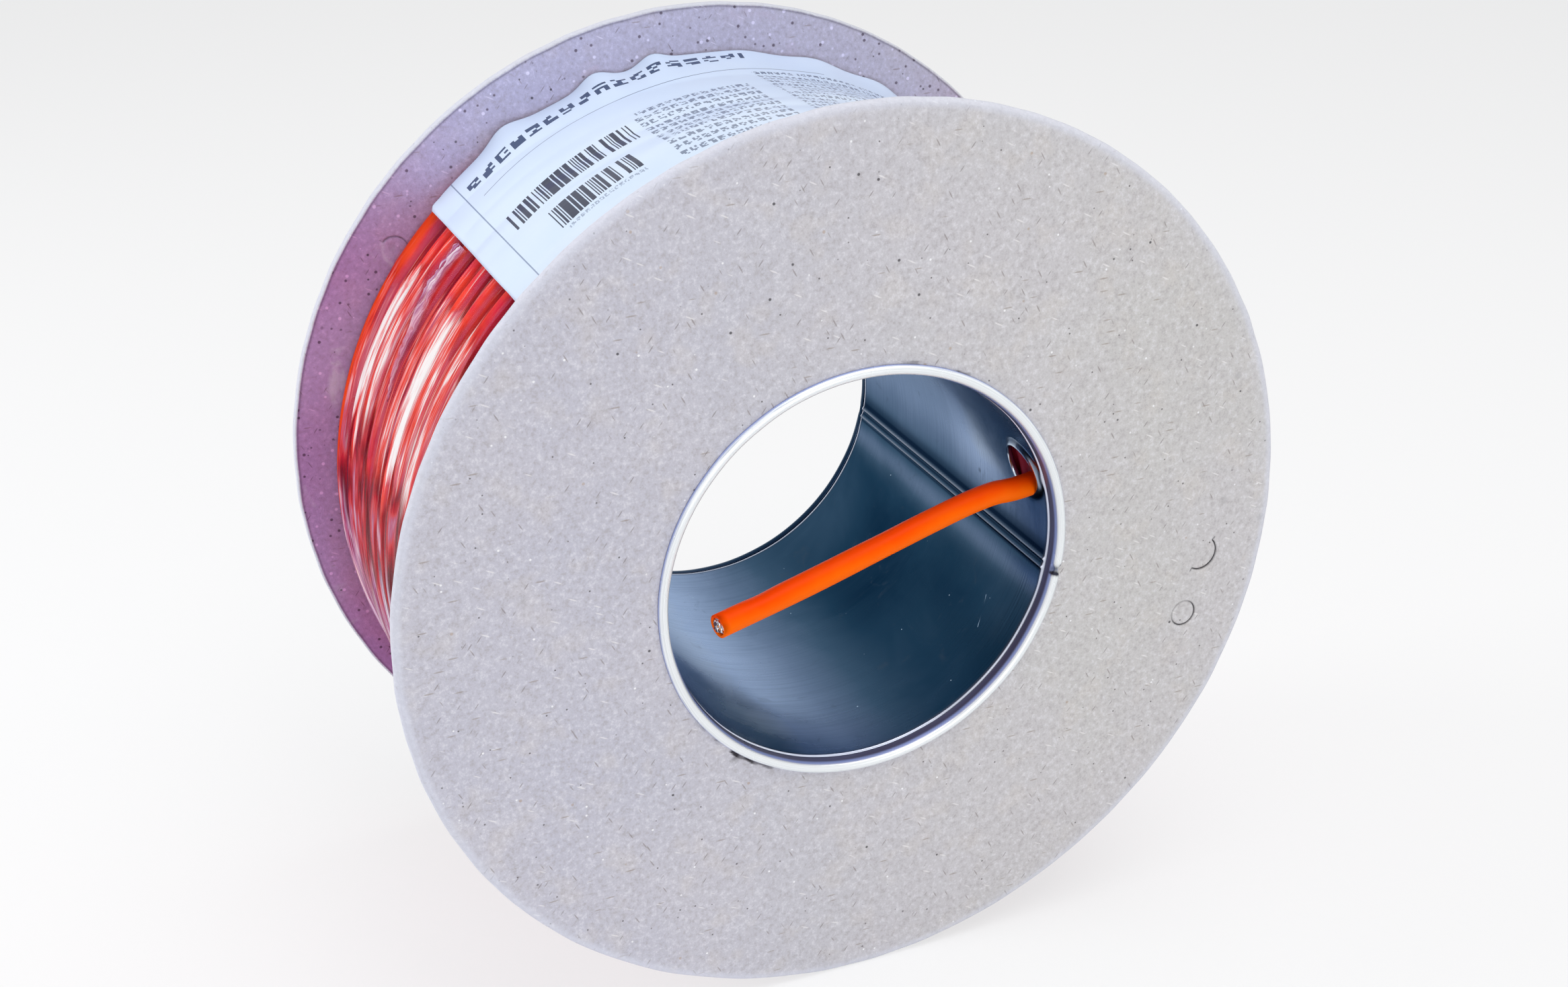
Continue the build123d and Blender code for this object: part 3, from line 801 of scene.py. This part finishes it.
    on_wall = 1 - settle(at_end, 69.0 * mm, 69.8 * mm)
    on_end = settle(at_end, curl_base - 1 * mm, curl_base)
    rim = settle(at_end, curl_base + 0.2 * mm, curl_base + 0.9 * mm)
    rim = rim * (1 - 0.40 * settle(at_radius, bead_radius - 0.7 * mm, bead_radius))
    rim = np.maximum(rim, 0.30 * (at_radius < core_radius - 1.3 * mm) * (at_end < 68 * mm))
    outer_edge = settle(at_radius, bead_radius - 1.7 * mm, bead_radius - 0.9 * mm)
    cut = 0.9 * hump(beside, -1.4 * mm, 0.5 * mm) * outer_edge + hump(beside, 1.6 * mm, 0.6 * mm)
    cut = (cut + 0.75 * hump(beside, 0.2 * mm, 1.4 * mm) * (1 - outer_edge)) * on_end
    crests = hump(beside, -1.45 * mm, 0.42 * mm) + 0.9 * hump(beside, 1.5 * mm, 0.36 * mm)
    # Painted shade beside the seam's ridges, beside the groove at each end, on the back land and round the hole.
    folds = 0.85 * hump(beside, 0.1 * mm, 0.5 * mm) + 0.92 * hump(beside, -3.2 * mm, 1.0 * mm)
    folds = folds + 0.62 * hump(beside, -5.0 * mm, 2.4 * mm) + 0.75 * hump(beside, 2.8 * mm, 0.5 * mm)
    groove_shade = 0.6 * hump(at_end, np.where(behind, 68.3, 69.0) * mm, 0.30 * mm)
    groove_shade = groove_shade + 0.85 * hump(at_end, np.where(behind, 70.1, 70.4) * mm, 0.40 * mm)
    land = settle(at_end, 70.2 * mm, 70.7 * mm) * (1 - settle(at_end, curl_base, curl_base + 0.4 * mm))
    off_hole = np.hypot(turned(at_angle, hole_angle) * core_radius, points[:, 1] - hole_along) - hole_radius
    collar_shade = 0.8 * hump(off_hole, 1.3 * mm, 1.0 * mm)
    fold_shade = np.clip(folds * on_wall + groove_shade + 0.9 * land * behind + collar_shade, 0, 1)
    # Painted reflection: blue-lilac band inside the front bead.
    sheen = settle(at_end, 72.5 * mm, 73.3 * mm) * ~behind
    # Painted highlight lines at the groove near each end and along the seam's crests.
    glint = 0.85 * hump(at_end, np.where(behind, 69.2, 69.55) * mm, np.where(behind, 0.42, 0.34) * mm)
    glint = glint + 0.26 * crests * on_wall
    # Painted reflections: the tone round the wall, lighter and darker by angle and darker towards the back on one
    # side.
    round_by = np.degrees(at_angle) % 360
    tone = 0.81 - 0.60 * settle(round_by, 76, 104) + 0.20 * hump(round_by, 106.5, 4.5)
    tone = tone + 0.50 * settle(round_by, 148, 214) - 0.35 * settle(round_by, 222, 244)
    tone = tone + 0.45 * settle(round_by, 290, 350)
    deep = points[:, 1] / mm
    tone = tone - 0.28 * settle(deep, -30, 5) * (1 - settle(round_by, 76, 100))
    tone = tone + 0.06 * settle(deep, 30, 55) * hump(round_by, 131, 18) - 0.04 * hump(round_by, 128, 14)
    # Painted shadow of the cable's tail on the wall below it.
    tone = tone - 0.06 * hump(deep, 8, 16) * hump(round_by, 146, 13)
    tone = tone + 0.05 * (1 - settle(deep, -50, -25)) * hump(round_by, 118, 12)
    tone = tone + 0.03 * hump(round_by, 205, 14) + 0.32 * (1 - settle(deep, -56, -24)) * hump(round_by, 216, 17)
    shares = {
        "rim": rim,
        "cut": np.clip(cut, 0, 1),
        "fold_shade": fold_shade,
        "sheen": np.clip(sheen, 0, 1),
        "glint": np.clip(glint, 0, 1),
        "tone": np.clip(tone, 0.1, 1),
        "land": land * ~behind * 0.9,
        "girth": at_end + at_radius,
    }
    piece = make_piece("core_tinplate", points, quads, tinplate, shares)
    joined = bmesh.new()
    joined.from_mesh(piece.data)
    bmesh.ops.remove_doubles(joined, verts=joined.verts, dist=0.002 * mm)
    joined.to_mesh(piece.data)
    joined.free()
    wall = piece.modifiers.new("sheet", "SOLIDIFY")
    wall.thickness = 0.3 * mm
    wall.offset = -1
    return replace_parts(piece, "core_tube")


core_tube()


# Wound cable
film_end = film_high.y + 2.3 * mm
turn_count = 12
turn_pitch = 2 * winding_half / turn_count
turn_numbers = np.arange(-1, turn_count + 1)
# A layer's start along the axis, in turns, and the seed of its wandering
top_layer = (0.5, 41)
under_layer = (0.0, 42)


def turn_lines(angle, step, seed):
    """Middle along the axis and rise of each turn of a layer at an angle.

    A turn lies square to the axis most of the way round and steps over to the next place on the right. Middle and
    rise wander as slow waves of the turns counted from the front, and the last turn stands a little proud.
    """
    counted = turn_numbers + (angle / turn)[..., None]
    crossing = settle(angle, np.radians(95), np.radians(165))[..., None]
    phases = np.random.default_rng(seed).uniform(0, turn, 6)
    middle = turn_pitch * (turn_numbers + step + crossing) - winding_half
    middle = middle + 0.60 * mm * np.sin(turn * 0.37 * counted + phases[0])
    middle = middle + 0.40 * mm * np.sin(turn * 1.31 * counted + phases[1])
    middle = middle + 0.20 * mm * np.sin(turn * 3.60 * counted + phases[2])
    middle = np.clip(middle, cable_radius - winding_half, winding_half - cable_radius)
    rise = 0.40 * mm * np.sin(turn * 0.71 * counted + phases[3])
    rise = rise + 0.25 * mm * np.sin(turn * 2.3 * counted + phases[4])
    last = settle(middle, winding_half - 2.0 * cable_radius, winding_half - 1.4 * cable_radius)
    return middle, rise - 0.4 * mm + 0.8 * mm * last


def turn_heights(angle, along, section, layer=top_layer):
    """Height of a layer against the winding's radius: over each turn a round section, and the highest one counts."""
    middle, rise = turn_lines(angle, *layer)
    off = along[..., None] - middle[:, None, :]
    arch = np.sqrt(np.maximum(section**2 - off**2, 0)) - section
    arch = np.where(np.abs(off) < section, arch, -30 * mm)
    return (arch + rise[:, None, :]).max(axis=-1)


def cable_winding():
    """The wound cable as one closed skin: top turns, the turns that show between them, flat ends and the bore."""
    layer_drop = 4.4 * mm
    columns = 228
    angle = np.linspace(-np.pi, np.pi, 330, endpoint=False)
    along = np.broadcast_to(np.linspace(-winding_half, winding_half, columns), (len(angle), columns))
    top = turn_heights(angle, along, cable_radius)
    under = turn_heights(angle, along, cable_radius, under_layer) - layer_drop
    height = np.maximum(top, under)
    outer = ring_points(winding_radius + height, angle[:, None], along, winding_height)
    bore_along = np.linspace(winding_half, -winding_half, 70)
    bore_ridge = 1.4 * mm * (1 - np.abs(np.cos(np.pi * bore_along / (2 * cable_radius))))
    bore = ring_points(core_radius + 0.8 * mm + bore_ridge, angle[:, None], bore_along[None, :], axis_height)
    points = np.concatenate([outer, bore], axis=1)
    # Painted shade share: from the turns' tops down into the valleys; the bore gets a fixed share.
    valley_shade = settle(-height, 1.2 * mm, 4.6 * mm)
    bare = settle(along, film_end - 1.5 * mm, film_end + 0.5 * mm) * (1 - 0.5 * valley_shade)
    bore_share = np.full(bore.shape[:2], 0.8)
    shares = {
        "valley_shade": np.concatenate([valley_shade, bore_share], axis=1),
        "bare": np.concatenate([bare, 0 * bore_share], axis=1),
    }
    quads = grid_quads(*points.shape[:2], closed_rows=True, closed_columns=True)
    piece = make_piece("wound_cable", points, quads, wound_finish, shares)
    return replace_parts(piece, "cable_winding")


cable_winding()


# Stretch film
film_lift = 0.7 * mm
# Painted highlight bands on whitened film: place along the axis and width in millimetres, and strength
painted_highlight_bands = (
    (50.0, 3.9, 1.0),
    (38.0, 2.4, 0.36),
    (12.0, 2.4, 0.42),
    (0.5, 3.4, 1.0),
    (-9.5, 2.8, 0.45),
    (-20.0, 2.2, 0.28),
    (-33.0, 2.4, 0.28),
    (-46.0, 2.4, 0.25),
)


def spread_over(angle, along):
    """The angle of each row, given to all points of the row."""
    return np.broadcast_to(angle[:, None], along.shape)


def ragged_down(angle, along, waves):
    """Angle down from the top on either side, made ragged by creases of the given size in degrees."""
    wide = spread_over(angle, along)
    ragged = sum(np.radians(size) * creases(wide, along, *lattice) for size, *lattice in waves)
    return np.abs(turned(wide, 0.0)) + ragged


def belt(down, start, full, fade, end):
    """1 on a belt round the drum between two angles in degrees, with soft edges."""
    start, full, fade, end = np.radians((start, full, fade, end))
    return settle(down, start, full) * (1 - settle(down, fade, end))


def film_heights(angle, along):
    """Height of the film against the winding's radius: wide arches that bridge the turns, with creases along them."""
    bridged = turn_heights(angle, along, 4.2 * cable_radius)
    wide = spread_over(angle, along)
    rough = 0.24 * mm * creases(wide, along, 51, 22, 4.1 * mm) + 0.18 * mm * creases(wide, along, 52, 44, 2.3 * mm)
    rough = rough + 0.10 * mm * creases(wide, along, 53, 80, 1.5 * mm)
    return bridged + rough + film_lift


def film_painted_highlight(angle, along):
    """How far the film is whitened: all over the flank under the label a little, and in bands on some turns fully.

    The flank begins and ends at ragged angles. The whitening is painted highlight on whitened film.
    """
    down = ragged_down(angle, along, ((5.0, 64, 24, 2.6 * mm), (3.0, 65, 60, 6 * mm)))
    flank = belt(down, 49.0, 56.0, 71.0, 80.0)
    bands = sum(share * hump(along, place * mm, width * mm) for place, width, share in painted_highlight_bands)
    return np.clip((0.18 + 0.80 * bands) * flank, 0, 1)


def film_painted_drops(angle, along):
    """How far the film shows drops and folds: a belt low on each side, with a ragged upper edge."""
    # Painted reflections: the belt where the film shows dark drops and lilac and coral folds.
    return belt(ragged_down(angle, along, ((7.0, 68, 20, 4.4 * mm),)), 75.0, 81.0, 98.0, 110.0)


def film_bunch(angle, along):
    """How far the film is bunched: all over the underside, drawn together from the drops' belt on."""
    down = ragged_down(angle, along, ((8.0, 63, 24, 3.6 * mm),))
    drawn = 0.85 + 0.15 * creases(spread_over(angle, along), along, 69, 40, 4 * mm)
    return settle(down, np.radians(88.0), np.radians(98.0)) * drawn


def film_sink(angle, along):
    """How far the film lies in the hollow between two turns: from the way to the nearest turn's middle."""
    # The finish paints this share as shade: darker film in the hollows.
    middle, _ = turn_lines(angle, *top_layer)
    off = np.abs(along[..., None] - middle[:, None, :]).min(axis=-1)
    return settle(off, 0.62 * turn_pitch / 2, 0.92 * turn_pitch / 2)


def film_gather():
    """A crumpled strip of film from under the label: a ridge that tapers and bends towards the front."""
    rows = 90
    angle = np.radians(np.linspace(-44.9, -68.0, rows))
    across = np.linspace(-1, 1, 22)[None, :]
    share = np.linspace(0, 1, rows)[:, None]
    half = (5.4 * (1 - share) ** 0.9 + 0.5) * mm
    middle = (30.0 - 8.5 * share**1.5 + 0.9 * np.sin(9 * share)) * mm
    along = middle + half * across
    wide = spread_over(angle, along)
    crumple = np.abs(creases(wide, along, 66, 260, 1.7 * mm))
    crumple = crumple + 0.6 * np.abs(creases(wide, along, 67, 420, 1.1 * mm))
    ridge = (0.25 + 1.3 * crumple * (1 - 0.6 * share)) * mm * (1 - across**2) ** 0.6
    points = ring_points(winding_radius + film_heights(angle, along) + ridge, angle[:, None], along, winding_height)
    quads = grid_quads(*points.shape[:2])[..., ::-1]
    flat = quad_flat(angle[:, None] * winding_radius, along)[..., ::-1, :]
    shares = dict.fromkeys(("painted_highlight", "painted_drops", "sink_shade", "bare"), 0 * crumple)
    shares["bunch"] = np.clip(0.6 + 0.9 * crumple, 0, 1) * (1 - 0.35 * share) * (1 - across**4)
    return make_piece("film_gather", points, quads, film, shares, flat)


def film_wrap():
    """The film as an open sleeve with uneven edges."""
    angle = np.linspace(-np.pi, np.pi, 400, endpoint=False)
    share = np.linspace(0, 1, 172)
    front = film_low.y + 0.8 * mm * ripple(angle, 0 * angle, 61, 9, 1.0)
    reach = 4.0 * mm * (1 - settle(np.abs(angle), np.radians(52), np.radians(58)))
    back = film_end + reach + 0.7 * mm * ripple(angle, 0 * angle, 62, 14, 1.0)
    along = front[:, None] * (1 - share) + back[:, None] * share
    heights = film_heights(angle, along)
    points = ring_points(winding_radius + heights, angle[:, None], along, winding_height)
    quads = grid_quads(*points.shape[:2], closed_rows=True)
    round_flat = np.append(angle, np.pi) * winding_radius
    flat = quad_flat(round_flat[:, None], np.concatenate([along, along[:1]]))
    shares = {"painted_highlight": film_painted_highlight(angle, along), "painted_drops": film_painted_drops(angle, along)}
    shares["bunch"] = film_bunch(angle, along)
    shares["sink_shade"] = film_sink(angle, along)
    shares["bare"] = np.clip(1 - 1.4 * shares["painted_highlight"] - shares["painted_drops"] - shares["bunch"], 0, 1)
    piece = make_piece("film_sleeve", points, quads, film, shares, flat)
    film_gather()
    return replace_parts(piece, "film_wrap")


film_wrap()


# Label sheet
# Waves of the far edge: angle and spread in degrees, and height in millimetres
label_waves = (
    (-29.9, 3.2, 3.2),
    (-15.3, 2.8, 4.4),
    (-6.8, 2.3, 3.2),
    (7.0, 4.0, 1.0),
    (18.0, 4.0, 1.6),
    (29.0, 4.0, 2.0),
)


def label_sheet():
    """The sheet as a grid over its flat size: bent round the winding and resting on the film over the turns.

    Beside the back flange it rises in waves, as bell curves round the drum times a power of the way to the far edge.
    Its far corners are rounded.
    """
    length = 210 * mm
    width = 144 * mm
    start = np.radians(-44.5)
    lift_from = 119 * mm
    corner = 8 * mm
    flat_along = np.linspace(0, length, 170)[:, None]
    flat_up = np.concatenate([np.linspace(0, lift_from, 80), np.linspace(lift_from, width, 34)[1:]])[None, :]
    from_end = np.minimum(flat_along, length - flat_along)
    into_corner = np.clip(1 - from_end / corner, 0, 1)
    far_edge = width - corner * (1 - np.sqrt(1 - into_corner**2))
    flat_up = flat_up * far_edge / width
    angle = start + flat_along / (winding_radius + 1.5 * mm)
    degrees_round = np.degrees(angle)
    lifted = np.clip((flat_up - lift_from) / (width - lift_from), 0, 1)
    crest = sum(height * mm * hump(degrees_round, place, spread) for place, spread, height in label_waves)
    base = 0.2 * mm + 2.4 * mm * settle(degrees_round, -16.0, -2.0)
    rise = (base + 0.9 * crest) * lifted**1.5
    room = width - (label_high.y - label_low.y) + 0.3 * mm
    inset = 3.4 * mm * (1 - settle(degrees_round, -44.0, -20.0))
    along = label_low.y + flat_up * (1 - inset / width) - room * lifted**2
    bed = turn_heights(angle[:, 0], along, 30 * cable_radius)
    sway = 0.22 * mm * ripple(angle, along, 71, 22, 150 * mm)
    buckle = flat_up - 34 * mm - 0.42 * flat_along
    sway = sway + 0.55 * mm * hump(buckle, 0, 7 * mm) * settle(flat_along, 12 * mm, 50 * mm)
    curl = 0.8 * mm * (1 - settle(flat_along, 0, 5 * mm)) * settle(flat_up, 90 * mm, 135 * mm)
    radius = winding_radius + bed + film_lift + 0.75 * mm + sway + curl + rise
    points = ring_points(radius, angle, along, winding_height)
    quads = grid_quads(*points.shape[:2])
    flat = quad_flat(flat_along, flat_up)
    piece = make_piece("label_paper", points, quads, paper, flat=flat)
    sheet = piece.modifiers.new("sheet", "SOLIDIFY")
    sheet.thickness = 0.16 * mm
    sheet.offset = 1
    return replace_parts(piece, "label_sheet")


label_sheet()


# The cable's inner end
def cord_line(points):
    """Points along the smooth line that a NURBS spline draws with the route's points as its control points."""
    curve = bpy.data.curves.new("tail_line", "CURVE")
    curve.dimensions = "3D"
    curve.resolution_u = 16
    spline = curve.splines.new("NURBS")
    spline.points.add(len(points) - 1)
    flat = np.concatenate([np.array(points) * mm, np.ones((len(points), 1))], axis=1)
    spline.points.foreach_set("co", flat.ravel())
    spline.order_u = 3
    spline.use_endpoint_u = True
    carrier = bpy.data.objects.new("tail_line", curve)
    mesh = bpy.data.meshes.new_from_object(carrier)
    line = np.empty(len(mesh.vertices) * 3, dtype=np.float32)
    mesh.vertices.foreach_get("co", line)
    bpy.data.meshes.remove(mesh)
    bpy.data.curves.remove(curve)
    return line.reshape(-1, 3).astype(float)


def carried(line):
    """Unit vectors at each point of a line: along it, and two across it that don't twist much."""
    ahead = np.gradient(line, axis=0)
    ahead = ahead / np.linalg.norm(ahead, axis=1, keepdims=True)
    level = np.cross(ahead, (0.0, 0.0, 1.0))
    level = level / np.linalg.norm(level, axis=1, keepdims=True)
    return ahead, level, np.cross(level, ahead)


def tail_jacket(line):
    """The jacket: a round section carried along the line, with dents; at the cut it turns in to its inner wall."""
    ahead, level, upward = carried(line)
    walked = np.concatenate([[0], np.cumsum(np.linalg.norm(np.diff(line, axis=0), axis=1))])
    left = (walked[-1] - walked)[:, None]
    round_angle = np.linspace(0, turn, 48, endpoint=False)[None, :]
    dent = 0.10 * hump(left, 16 * mm, 5 * mm) * hump(turned(round_angle, np.radians(75)), 0, 0.8)
    dent = dent + 0.035 * hump(left, 62 * mm, 8 * mm) * hump(turned(round_angle, np.radians(80)), 0, 0.9)
    uneven = 0.018 * ripple(round_angle, left, 81, 3, 40 * mm)
    radius = cable_radius * (1 - dent + uneven)
    directions = level[:, None, :] * np.cos(round_angle)[..., None]
    directions = directions + upward[:, None, :] * np.sin(round_angle)[..., None]
    outside = line[:, None, :] + radius[..., None] * directions
    inset = np.array([0.985, 0.90, 0.80, 0.76, 0.76])
    depth = np.array([-0.05, 0.10, 0.08, -0.10, -1.6]) * mm
    ragged = 0.12 * mm * ripple(round_angle[0], 0 * round_angle[0], 83, 7, 1.0)
    end = line[-1] + ahead[-1] * depth[:, None]
    mouth = end[:, None, :] + (radius[-1][None, :] * inset[:, None])[..., None] * directions[-1][None]
    mouth = mouth + ragged[None, :, None] * ahead[-1]
    root = outside[:1] - 2.4 * mm * ahead[0]
    points = np.concatenate([root, outside, mouth])
    quads = grid_quads(*points.shape[:2], closed_columns=True)[..., ::-1]
    # Painted shade share: 0 along the jacket's top, 1 underneath.
    under = np.broadcast_to(0.5 - 0.5 * np.sin(round_angle), points.shape[:2])
    piece = make_piece("cable_tail_jacket", points, quads, tail_finish, {"under": under})
    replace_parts(piece, "cable_tail")
    return piece, ahead[-1], level[-1], upward[-1]


def end_bundle(name, middle, ahead, level, upward, radius, length, finish, lobes, seed):
    """A short blunt plug along the cable: a round section with lobes, and a domed, crumpled end."""
    round_angle = np.linspace(0, turn, 24, endpoint=False)[None, :]
    share = np.array([1.0, 1.0, 0.97, 0.85, 0.6, 0.3, 0.02])[:, None]
    dome = np.array([-0.35, -0.15, 0.0, 0.05, 0.0, 0.0]) * mm
    depth = np.concatenate([[-1.5 * mm], length + dome])[:, None]
    waved = 1 + 0.10 * np.cos(lobes * round_angle) + 0.06 * ripple(round_angle, depth, seed, 9, 2 * mm)
    spread = radius * share * waved
    across = level * np.cos(round_angle)[..., None] + upward * np.sin(round_angle)[..., None]
    crumple = 0.12 * mm * ripple(round_angle, share * mm, seed + 1, 6, 1 * mm) * (share < 0.9)
    points = middle + spread[..., None] * across + (depth + crumple)[..., None] * ahead
    quads = grid_quads(*points.shape[:2], closed_columns=True)[..., ::-1]
    return make_piece(name, points, quads, finish)


def cable_tail():
    """The cable's inner end: its jacket along the route, and at the cut the braid, four foiled pairs and wires."""
    line = cord_line(tail_route)
    piece, ahead, level, upward = tail_jacket(line)
    end = line[-1]
    parts = [end_bundle("tail_braid", end, ahead, level, upward, 2.7 * mm, -0.35 * mm, braid_wire, 16, 91)]
    for pair in range(4):
        lean = turn * (pair + 0.35) / 4
        middle = end + 1.28 * mm * (level * np.cos(lean) + upward * np.sin(lean))
        proud = 0.15 * mm + 0.25 * mm * (pair % 2)
        foil_name = f"tail_foil_{pair}"
        parts.append(end_bundle(foil_name, middle, ahead, level, upward, 1.12 * mm, proud, pair_foil, 5, 93 + pair))
        for wire in (-1, 1):
            aside = wire * 0.48 * mm * (level * np.sin(lean) - upward * np.cos(lean))
            spot = middle + aside + ahead * proud
            shade = core_skin if (pair + wire) % 3 else copper_core
            wire_name = f"tail_wire_{pair}_{(wire + 1) // 2}"
            wire_size = (0.40 * mm, 0.3 * mm)
            parts.append(end_bundle(wire_name, spot, ahead, level, upward, *wire_size, shade, 3, 97 + pair))


cable_tail()


# Floor, light and camera
def seen_share(tree):
    """1 for rays that come from the camera, a mirror or a clear sheet, 0 for rays that carry light."""
    path = tree.nodes.new("ShaderNodeLightPath")
    seen = sum_of(tree, "MAXIMUM", path.outputs["Is Camera Ray"], path.outputs["Is Glossy Ray"])
    return sum_of(tree, "MAXIMUM", seen, path.outputs["Is Transmission Ray"])


def floor_finish():
    """White floor: lit, with plain white mixed in where it is seen, so that it stays pale and keeps the shadow."""
    finish, tree, shader, _ = start_finish("floor")
    feed(tree, shader, Base_Color=(0.92, 0.92, 0.93, 1), Roughness=0.7, Specular_IOR_Level=0.1)
    glow = add_node(tree, "ShaderNodeEmission", {"Color": (1, 1, 1, 1), "Strength": 1.0})
    seen = sum_of(tree, "MULTIPLY", seen_share(tree), 0.68)
    mixed = add_node(tree, "ShaderNodeMixShader", {0: seen, 1: shader.outputs[0], 2: glow.outputs[0]})
    tree.links.new(mixed.outputs[0], tree.nodes["Material Output"].inputs["Surface"])
    return finish


def studio():
    """A white floor, a pale surround that is white where it is seen, and three large soft lamps."""
    size = 6.0
    mesh = bpy.data.meshes.new("floor")
    corners = [(-size, -size, 0), (size, -size, 0), (size, size, 0), (-size, size, 0)]
    mesh.from_pydata(corners, [], [(0, 1, 2, 3)])
    mesh.materials.append(floor_finish())
    floor = bpy.data.objects.new("floor", mesh)
    bpy.context.scene.collection.objects.link(floor)
    world = bpy.data.worlds.new("surround")
    bpy.context.scene.world = world
    world.use_nodes = True
    tree = world.node_tree
    lit = tree.nodes["Background"]
    lit.inputs["Color"].default_value = (0.95, 0.97, 1.0, 1)
    lit.inputs["Strength"].default_value = 0.34
    white = add_node(tree, "ShaderNodeBackground", {"Color": (1, 1, 1, 1), "Strength": 1.0})
    mixed = add_node(tree, "ShaderNodeMixShader", {0: seen_share(tree), 1: lit.outputs[0], 2: white.outputs[0]})
    tree.links.new(mixed.outputs[0], tree.nodes["World Output"].inputs["Surface"])
    lamps = (
        ("left_lamp", (-1.35, 0.55, 0.60), (0.7, 1.2), 12.0),
        ("front_lamp", (-0.2, -1.8, 0.35), (1.6, 1.2), 12.5),
        ("top_lamp", (0.25, -0.35, 1.6), (1.4, 1.2), 15.0),
    )
    for name, place, spread, power in lamps:
        light = bpy.data.lights.new(name, "AREA")
        light.shape = "RECTANGLE"
        light.size, light.size_y = spread
        light.energy = power
        lamp = bpy.data.objects.new(name, light)
        bpy.context.scene.collection.objects.link(lamp)
        lamp.location = place
        lamp.rotation_mode = "QUATERNION"
        lamp.rotation_quaternion = (Vector((0, 0, axis_height)) - Vector(place)).to_track_quat("-Z", "Y")


def camera():
    """The photo's viewpoint: in front, to the left and above, with the photo's width of view."""
    data = bpy.data.cameras.new("camera")
    data.sensor_width = 36.0
    data.lens = 46.256
    data.clip_start = 0.01
    eye = bpy.data.objects.new("camera", data)
    bpy.context.scene.collection.objects.link(eye)
    eye.location = (-0.24415, -0.57553, 0.44011)
    eye.rotation_euler = np.radians((64.859, 0.0, -23.205))
    bpy.context.scene.camera = eye


studio()
camera()
bpy.context.scene.view_settings.view_transform = "Standard"
